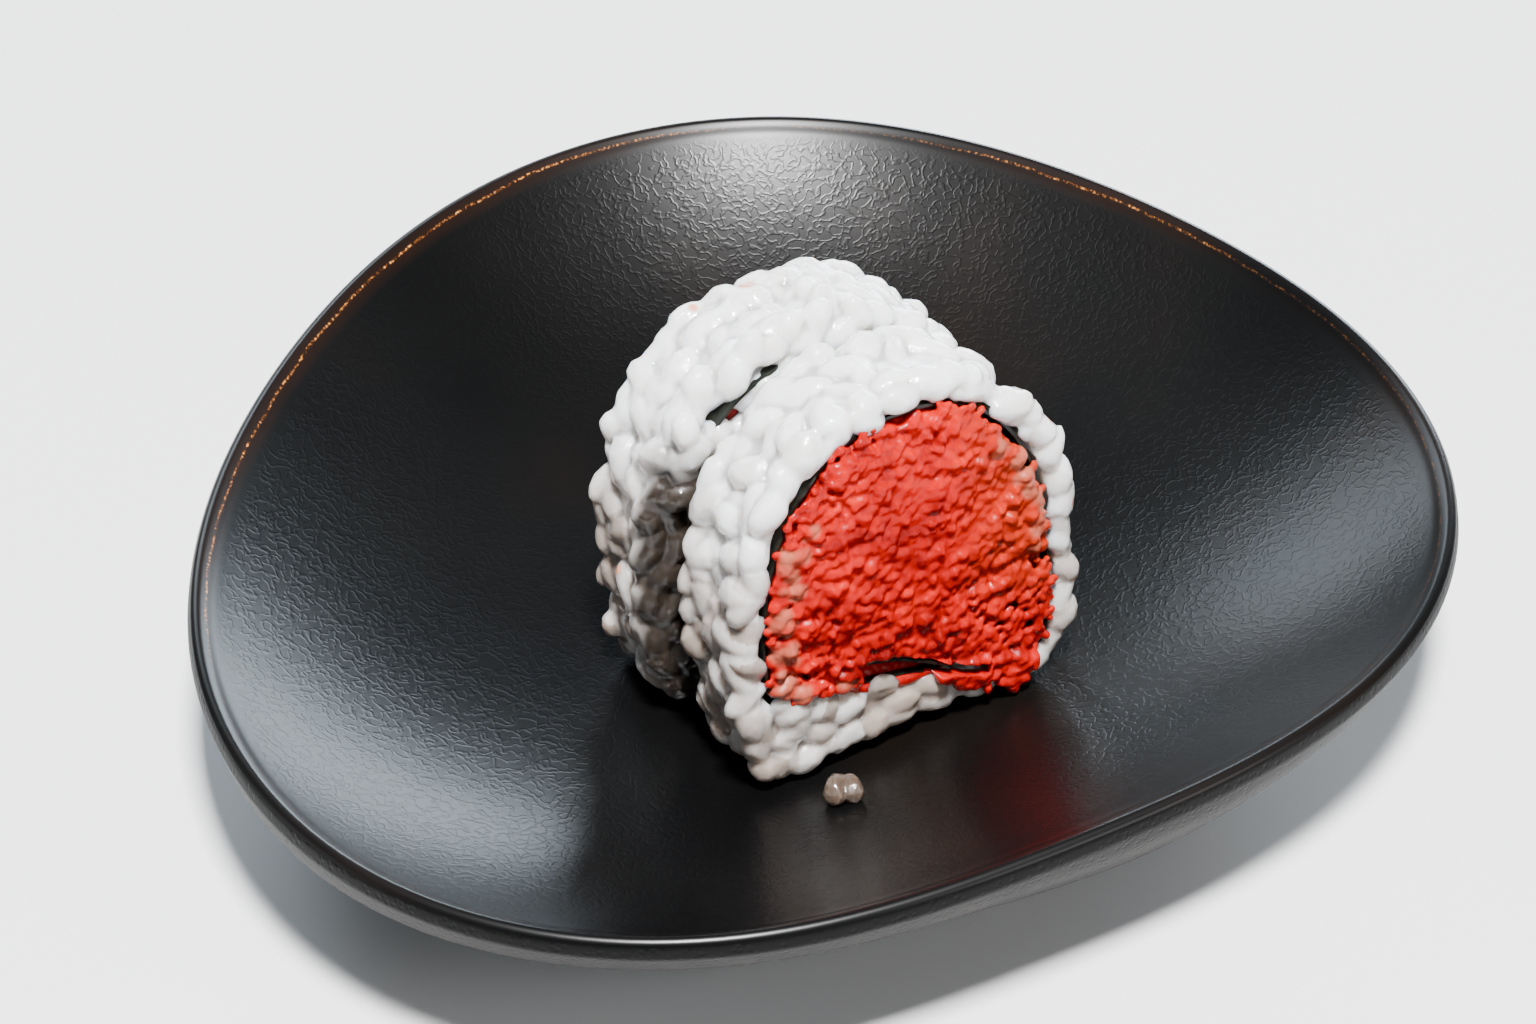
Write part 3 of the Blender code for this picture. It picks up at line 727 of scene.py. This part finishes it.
def rice_grains(shape, depth, near_shown, draw):
    """Grains round the coat in two layers, grains on both cut faces, and on the rear slice those that close
    the gap to the front one. Gives their middles."""
    edge = outline(0, 0, 0, 0, 720)
    inner = outline(*coat_inset(), 720)
    way = np.linalg.norm(np.diff(np.vstack([edge, edge[:1]]), axis=0), axis=1).sum()
    centres = []
    for gap, least, most in COAT_LAYERS:
        for s, y in spread(draw, (way, depth), gap, 3000, loop=True):
            (u, v), tangent, outwards = frame_at(edge, s / way)
            lie = random_lie(draw, tangent, Vector((0, 1, 0)), 1.5)
            length = GRAIN_LENGTH * draw.uniform(0.85, 1.3)
            width = GRAIN_WIDTH * draw.uniform(0.85, 1.2)
            reach = math.hypot(length / 2 * lie.y, width / 2 * math.sqrt(1 - lie.y**2))
            y = min(max(y, reach - 0.4 * MM), depth - reach + 0.4 * MM)
            place = Vector((u, y, v)) - outwards * draw.uniform(least, most)
            tipped = (lie + outwards * draw.uniform(-0.3, 0.3)).normalized()
            grain(shape, place, tipped, outwards, length, width)
            centres.append(place)
    for face, look in ((0.0, -1), (depth, 1)):
        shown = (look < 0) == near_shown
        for s, t in spread(draw, (way, 14 * MM), 3.0 * MM, 6000, loop=True):
            (u, v), tangent, outwards = frame_at(edge, s / way)
            inside = 1.2 * MM + t
            u, v = u - outwards.x * inside, v - outwards.z * inside
            if share_of(inner, u, v) < 1.0 or share_of(edge, u, v) > 1.0:
                continue
            width = GRAIN_WIDTH * draw.uniform(0.85, 1.05)
            stand = draw.uniform(0.3, 1.0) * MM if shown else 0.4 * MM
            place = Vector((u, face + look * (stand - width / 2), v))
            lie = random_lie(draw, tangent, outwards, 0.9)
            grain(shape, place, lie, Vector((0, look, 0)), GRAIN_LENGTH * draw.uniform(0.8, 1.05), width)
            centres.append(place)
    if not near_shown:
        centres += bridge_grains(shape, edge, way, draw)
    return centres


def bridge_grains(shape, edge, way, draw):
    """Grains on the rear slice's near face that close the wedge between the slices, but for one dark hole."""
    centres = []
    hole_u, hole_v, hole_radius = BRIDGE_HOLE
    for s, t in spread(draw, (way, 12.0 * MM), 2.4 * MM, 9000, loop=True):
        (u, v), tangent, outwards = frame_at(edge, s / way)
        u, v = u - outwards.x * (0.9 * MM + t), v - outwards.z * (0.9 * MM + t)
        turn = math.degrees(math.atan2(v - SHOULDER_HEIGHT, u)) % 360
        reach = BRIDGE_REACH * (0.6 + 0.4 * min(1.0, (turn - BRIDGE_START) / 40))
        if not BRIDGE_START < turn < BRIDGE_END or t > reach:
            continue
        deep = turn > BRIDGE_DEEP
        if deep and t < 1.6 * MM or math.hypot(u - hole_u, v - hole_v) < hole_radius:
            continue
        room = SLICE_GAP + (SLICE_WIDTH / 2 - u) * abs(math.sin(REAR_TURN))
        width = GRAIN_WIDTH * draw.uniform(0.8, 1.0)
        lie = random_lie(draw, tangent, outwards, 1.2)
        stand = draw.uniform(0.7, 1.3) * MM if deep else room * draw.uniform(0.35, 0.85)
        place = Vector((u, -stand + width / 2, v))
        grain(shape, place, lie, Vector((0, -1, 0)), GRAIN_LENGTH * draw.uniform(0.75, 1.0), width)
        centres.append(place)
    return centres


def make_rice(name, depth, near_shown, pose, seed, material):
    """The ring of grains grown into one skin, cut to the nori and to the dish. It keeps the numbers for its
    looks."""
    draw = np.random.default_rng(seed)
    shape = bmesh.new()
    core = outline(1.5 * MM, 1.5 * MM, 1.5 * MM, 0.0, 120)
    tube(shape, core, outline(*coat_inset(-CLEAR), 120), 0.7 * MM, depth - 0.7 * MM)
    bmesh.ops.recalc_face_normals(shape, faces=shape.faces)
    centres = rice_grains(shape, depth, near_shown, draw)
    made = put(name, shape, material)
    remesh(made, RICE_VOXEL, 3)
    near, far = (NORI_BACK, depth - 0.2 * MM) if near_shown else (0.2 * MM, depth - NORI_BACK)
    cut(made, block_cutter("bore", outline(*coat_inset(-CLEAR), 160), near, far))
    points = points_of(made)
    # Greyer towards the bottom, painted shade on the lower left side that faces away from the lamps, and a random
    # tone for each grain
    low = 1 - np.clip((points[:, 2] - 6 * MM) / (24 * MM), 0, 1)
    left = np.clip((-points[:, 0] - 13 * MM) / (8 * MM), 0, 1)
    left *= np.clip((38 * MM - points[:, 2]) / (12 * MM), 0, 1)
    tone = grain_tones(points, centres, draw)
    paint(made, "clear", np.clip(0.6 * np.maximum(low, left) + (0.3 + 0.3 * low) * tone - 0.12, 0, 0.85))
    # Painted shade: darker in the clefts between grains and, on the rear slice, in the wedge between the slices
    gap_shade = 0 if near_shown else in_the_gap(points)
    paint(made, "painted_shade", 0.35 * clefts(made, 0.16 * MM) + gap_shade)
    paint(made, "stain", 0.8 * nearness(points, np.array(STAINS[near_shown])))
    made.data.transform(pose)
    cut(made, well_cutter(0.05 * MM))
    keep_largest(made)
    made.data.shade_smooth()
    made.data.set_sharp_from_angle(angle=math.radians(60))
    return made


def in_the_gap(points):
    """How far each point lies in the open wedge between the slices, where shade is painted onto the rear slice's
    near face."""
    left = np.clip((-points[:, 0] - 9 * MM) / (5 * MM), 0, 1)
    low = np.clip((38 * MM - points[:, 2]) / (8 * MM), 0, 1)
    return left * low * np.clip((2.4 * MM - points[:, 1]) / (2.0 * MM), 0, 1)


def grain_tones(points, centres, draw):
    """A random tone for each grain, read at each point from its nearest grain."""
    tree = KDTree(len(centres))
    for i, place in enumerate(centres):
        tree.insert(place, i)
    tree.balance()
    tones = draw.uniform(0, 1, len(centres)) ** 1.6
    return np.array([tones[tree.find(point)[1]] for point in points])


def clefts(thing, depth):
    """How far each vertex lies below its surroundings, from none at 0 to this depth at 1."""
    mesh = thing.data
    points = points_of(thing).astype(float)
    pairs = np.empty(len(mesh.edges) * 2, dtype=np.int32)
    mesh.edges.foreach_get("vertices", pairs)
    a, b = pairs.reshape(-1, 2).T
    normals = np.empty(len(points) * 3, dtype=np.float32)
    mesh.vertices.foreach_get("normal", normals)
    degree = np.bincount(a, minlength=len(points)) + np.bincount(b, minlength=len(points))
    soft = points.copy()
    for _ in range(14):
        total = np.zeros_like(soft)
        for k in range(3):
            total[:, k] = np.bincount(a, soft[b, k], len(points)) + np.bincount(b, soft[a, k], len(points))
        soft = total / np.maximum(degree, 1)[:, None]
    return np.clip(np.einsum("ij,ij->i", soft - points, normals.reshape(-1, 3)) / depth, 0, 1) ** 1.2


def sheet_foot(u):
    """Height of the nori's middle line over the slice's foot."""
    across = u / (SLICE_WIDTH / 2 - COAT_SIDE)
    return COAT_FOOT + NORI / 2 - COAT_FOOT_SLOPE * across + FOOT_ARCH * (1 - across**2)


def tail_path(extra=0.0):
    """The middle line of the nori's tucked end, with some extra length at its tip."""
    share = np.linspace(0, 1, 25)
    u = TAIL_START - (TAIL_LENGTH + extra) * (1 - share)
    return np.stack([u, sheet_foot(u) + TAIL_RISE * (0.5 + 0.5 * np.cos(math.pi * share))], axis=1)


def sheet_path():
    """The nori's middle line: its tucked end, then round the filling to just under that end."""
    loop = outline(*coat_inset(NORI / 2), 200)
    turns = np.arctan2(loop[:, 1] - SHOULDER_HEIGHT, loop[:, 0]) % (2 * math.pi)
    order = np.argsort(turns)
    loop, turns = loop[order], turns[order]
    start = math.atan2(sheet_foot(TAIL_START) - SHOULDER_HEIGHT, TAIL_START) % (2 * math.pi)
    end = math.atan2(sheet_foot(SHEET_END) - SHOULDER_HEIGHT, SHEET_END) % (2 * math.pi)
    return np.vstack([tail_path(), loop[turns > start + math.pi / 200], loop[turns < end]])


def make_nori(name, depth, near_shown, pose, seed, material):
    """The sheet, thin and wavy along its cut edge. The front one's tucked end stands out a little, and the rear
    one comes out round the hole in the bridge of rice."""
    shape = bmesh.new()
    path = sheet_path()
    near, far = NORI_BACK, depth - NORI_BACK
    line = [shape.verts.new((u, near, v)) for u, v in path]
    edges = [shape.edges.new(pair) for pair in zip(line, line[1:])]
    hole_u, hole_v, _ = BRIDGE_HOLE
    steps = 10
    for _ in range(steps):
        out = bmesh.ops.extrude_edge_only(shape, edges=edges)["geom"]
        moved = [g for g in out if isinstance(g, bmesh.types.BMVert)]
        bmesh.ops.translate(shape, vec=(0, (far - near) / steps, 0), verts=moved)
        edges = [g for g in out if isinstance(g, bmesh.types.BMEdge) and all(v in moved for v in g.verts)]
    for v in shape.verts:
        at = Vector((v.co.x * 400, seed, v.co.z * 400))
        stretch = (v.co.y - near) / (far - near) if near_shown else 1 - (v.co.y - near) / (far - near)
        v.co.y += noise.noise(at) * 0.3 * MM * (1 - stretch) * (1 if near_shown else -1)
        if near_shown and v.co.z > sheet_foot(v.co.x) + 0.8 * MM and v.co.z < 13 * MM and abs(v.co.x) < 13 * MM:
            v.co.y -= 0.9 * MM * (1 - stretch)
        if not near_shown:
            away = math.hypot(v.co.x - hole_u, v.co.z - hole_v) / MM
            v.co.y -= 1.6 * MM * stretch * min(1.0, max(0.0, (9 - away) / 2.5))
    bmesh.ops.recalc_face_normals(shape, faces=shape.faces)
    bmesh.ops.solidify(shape, geom=shape.faces[:], thickness=NORI_SHEET)
    made = put(name, shape, material)
    made.data.transform(pose)
    made.data.shade_smooth()
    made.data.set_sharp_from_angle(angle=math.radians(50))
    return made


def make_filling(name, depth, near_shown, pose, seed, material):
    """Fish chopped fine: a body with hundreds of small lumps over its shown face and roe at its edges. The
    front one has a slot for the tucked end of the nori, and some of it spills over the rice below."""
    draw = np.random.default_rng(seed)
    edge = outline(*coat_inset(NORI + CLEAR), 360)
    look = -1 if near_shown else 1
    face = 0.0 if near_shown else depth
    shape = bmesh.new()
    near, far = (0.8 * MM, depth - 0.4 * MM) if near_shown else (0.4 * MM, depth - 0.8 * MM)
    block(shape, outline(*coat_inset(NORI + 2 * CLEAR), 160), near, far)
    bmesh.ops.recalc_face_normals(shape, faces=shape.faces)
    low, high = edge.min(axis=0), edge.max(axis=0)
    middle = (low + high) / 2
    for v in bmesh.ops.create_icosphere(shape, subdivisions=4, radius=1.0)["verts"]:
        half = (high - low) * 0.46
        swell = Vector((v.co.x * half[0], v.co.y * 1.7 * MM, v.co.z * half[1]))
        v.co = Vector((middle[0], face - look * 0.65 * MM, middle[1])) + swell
    clumps = []
    for u, v in spread(draw, tuple(high - low + 2 * MM), LUMP_GAP, 26000) + low - MM:
        share = share_of(edge, u, v)
        turn = math.degrees(math.atan2(v - SHOULDER_HEIGHT, u)) % 360
        bare = any(abs(turn - middle_turn) < half for middle_turn, half in NORI_SHOWS) or 230 < turn < 300
        room = (1 - share) * 17 * MM
        if room < (0.05 * MM if bare or not near_shown else -0.6 * MM):
            continue
        size = min(draw.uniform(0.5, 1.0) * MM, 0.62 * MM + max(0, room))
        lift = 0.75 * MM * (1 - share**4) + (-0.25 if bare else 0.15) * MM
        lump(shape, draw, Vector((u, face + look * (lift + draw.uniform(-0.15, 0.15) * MM), v)), size)
    angles = np.arctan2(edge[:, 1] - SHOULDER_HEIGHT, edge[:, 0])
    for k in range(ROE):
        turn = draw.uniform(0.70, 1.22) * math.pi if k % 3 else draw.uniform(-0.05, 0.30) * math.pi
        share = 0.97 - abs(draw.normal(0, 0.05))
        i = int(np.argmin(np.abs((angles - turn + math.pi) % (2 * math.pi) - math.pi)))
        u, v = edge[i] * share + np.array((0, SHOULDER_HEIGHT)) * (1 - share)
        size = draw.uniform(0.55, 1.2) * MM
        place = Vector((u, face + look * draw.uniform(-0.3, 0.6) * MM, v))
        lump(shape, draw, place, size, 2)
        clumps.append((*place, size))
    for k in range(SPILL if near_shown else 0):
        u = draw.uniform(1.5, 15.0) * MM
        top = float(sheet_foot(u)) + 1.2 * MM
        reach = draw.uniform(0, 1) ** 1.3 * 4.6 * MM * min(1.0, (u / MM + 2) / 11)
        place = Vector((u, -0.75 * MM - draw.uniform(0, 0.35) * MM + 0.08 * reach, top - reach))
        lump(shape, draw, place, draw.uniform(0.6, 1.05) * MM)
    made = put(name, shape, material)
    remesh(made, FILLING_VOXEL, 3)
    if near_shown:
        cut_slot(made, depth)
    keep_largest(made)
    points = points_of(made)
    paint(made, "pale", 0.8 * nearness(points, np.array(clumps)))
    right = np.clip((points[:, 0] - 5 * MM) / (13 * MM), 0, 1)
    right *= np.clip((points[:, 2] - 10 * MM) / (10 * MM), 0, 1)
    paint(made, "warm", right * 0.8)
    made.data.transform(pose)
    made.data.shade_smooth()
    return made


def cut_slot(thing, depth):
    """Cuts the way that the tucked end of the nori takes into the filling, a hollow under it at the cut face,
    and the hollow's open side."""
    tail = tail_path(1.0 * MM)
    along = np.gradient(tail, axis=0)
    along /= np.linalg.norm(along, axis=1)[:, None]
    across = np.stack([-along[:, 1], along[:, 0]], axis=1) * 0.55 * MM
    cut(thing, block_cutter("slot", np.vstack([tail + across, (tail - across)[::-1]]), -6 * MM, depth + 3 * MM))
    under = np.stack([tail[:, 0], sheet_foot(tail[:, 0]) + 0.1 * MM], axis=1)
    cut(thing, block_cutter("hollow", np.vstack([tail + across * 1.4, under[::-1]]), -6 * MM, 1.3 * MM))
    open_side = tail[:, 0] < 2.5 * MM
    lower = under[open_side] - np.array((0, 1.6 * MM))
    cut(thing, block_cutter("opening", np.vstack([tail[open_side], lower[::-1]]), -6 * MM, 0.3 * MM))


def nearness(points, balls):
    """One inside the balls of (x, y, z, radius), falling to zero a little outside them."""
    values = np.zeros(len(points))
    for x, y, z, radius in balls:
        away = np.linalg.norm(points - np.array((x, y, z)), axis=1) / radius
        values = np.maximum(values, np.clip((1.35 - away) * 2.2, 0, 1))
    return values


def make_loose_grain(material):
    """Two wet grains stuck together, cut to the dish that they lie on."""
    x, y = LOOSE_PLACE
    low = ground(x, y)
    shape = bmesh.new()
    for (across, back), rise, lie, length, width in LOOSE_GRAINS:
        place = Vector((x + across, y + back, low + rise))
        grain(shape, place, Vector(lie).normalized(), Vector((0, 0, 1)), length, width)
    made = put("loose_clump", shape, material)
    remesh(made, CLUMP_VOXEL, 2)
    cut(made, well_cutter(0.03 * MM))
    paint(made, "clear", np.full(len(made.data.vertices), 1.0))
    # Painted shade over the whole clump, darkening it evenly
    paint(made, "painted_shade", np.full(len(made.data.vertices), 0.75))
    made.data.shade_smooth()
    return made


# The whole


def area_light(name, place, size, power, tint):
    lamp = bpy.data.lights.new(name, "AREA")
    lamp.shape = "RECTANGLE"
    lamp.size, lamp.size_y = size
    lamp.energy = power
    lamp.color = tint
    made = bpy.data.objects.new(name, lamp)
    bpy.context.scene.collection.objects.link(made)
    made.location = place
    made.rotation_euler = (Vector(LIGHT_AIM) - Vector(place)).to_track_quat("-Z", "Y").to_euler()


def make_studio():
    """The pale floor, the sky and the lamps."""
    floor_shape = bmesh.new()
    bmesh.ops.create_grid(floor_shape, x_segments=1, y_segments=1, size=1.5)
    floor = put("floor", floor_shape, pale_floor())
    world = bpy.data.worlds.new("studio")
    world.use_nodes = True
    sky = world.node_tree.nodes["Background"]
    sky.inputs["Color"].default_value = SKY
    sky.inputs["Strength"].default_value = SKY_STRENGTH
    bpy.context.scene.world = world
    for light in LIGHTS:
        area_light(*light)


def make_camera():
    lens = bpy.data.cameras.new("camera")
    lens.lens = CAMERA_LENS
    lens.sensor_width = 36
    lens.clip_start = 0.01
    made = bpy.data.objects.new("camera", lens)
    bpy.context.scene.collection.objects.link(made)
    back = Vector((0, -math.cos(CAMERA_ELEVATION), math.sin(CAMERA_ELEVATION)))
    made.location = CAMERA_AIM + back * CAMERA_DISTANCE
    made.rotation_euler = (-back).to_track_quat("-Z", "Y").to_euler()
    bpy.context.scene.camera = made


def dress(piece, slot, *nodes):
    """Hangs a piece on the one body and hides the nodes that it stands for. The slot argument is not used."""
    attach(piece, "root")
    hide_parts(*nodes)


def main():
    noise.seed_set(NOISE_SEED)
    make_camera()
    make_studio()
    rice, red, nori = cooked_rice(), red_filling(), roasted_nori()
    dress(make_dish(black_glaze(), bare_stoneware()), "dish", "dish")
    along = Vector((math.cos(SLICE_YAW), math.sin(SLICE_YAW), 0))
    away = Vector((-math.sin(SLICE_YAW), math.cos(SLICE_YAW), 0))
    opening = SLICE_WIDTH / 2 * abs(math.sin(REAR_TURN))
    rear_foot = FRONT_FOOT + away * (FRONT_DEPTH + SLICE_GAP + opening) + along * REAR_SHIFT
    for name, depth, near_shown, foot, turn, seed in (
        ("front", FRONT_DEPTH, True, FRONT_FOOT, SLICE_YAW, 3),
        ("rear", REAR_DEPTH, False, rear_foot, SLICE_YAW + REAR_TURN, 11),
    ):
        pose = Matrix.Translation(foot) @ Matrix.Rotation(turn, 4, "Z") @ Matrix.Rotation(-SLICE_TILT, 4, "X")
        where = (depth, near_shown, pose, seed)
        dress(make_rice(f"{name}_rice_grains", *where, rice), "rice", f"{name}_rice")
        dress(make_nori(f"{name}_nori_sheet", *where, nori), "nori", f"{name}_nori")
        dress(make_filling(f"{name}_chopped_fish", *where, red), "filling", f"{name}_filling")
    dress(make_loose_grain(rice), "rice", "loose_grain")


main()
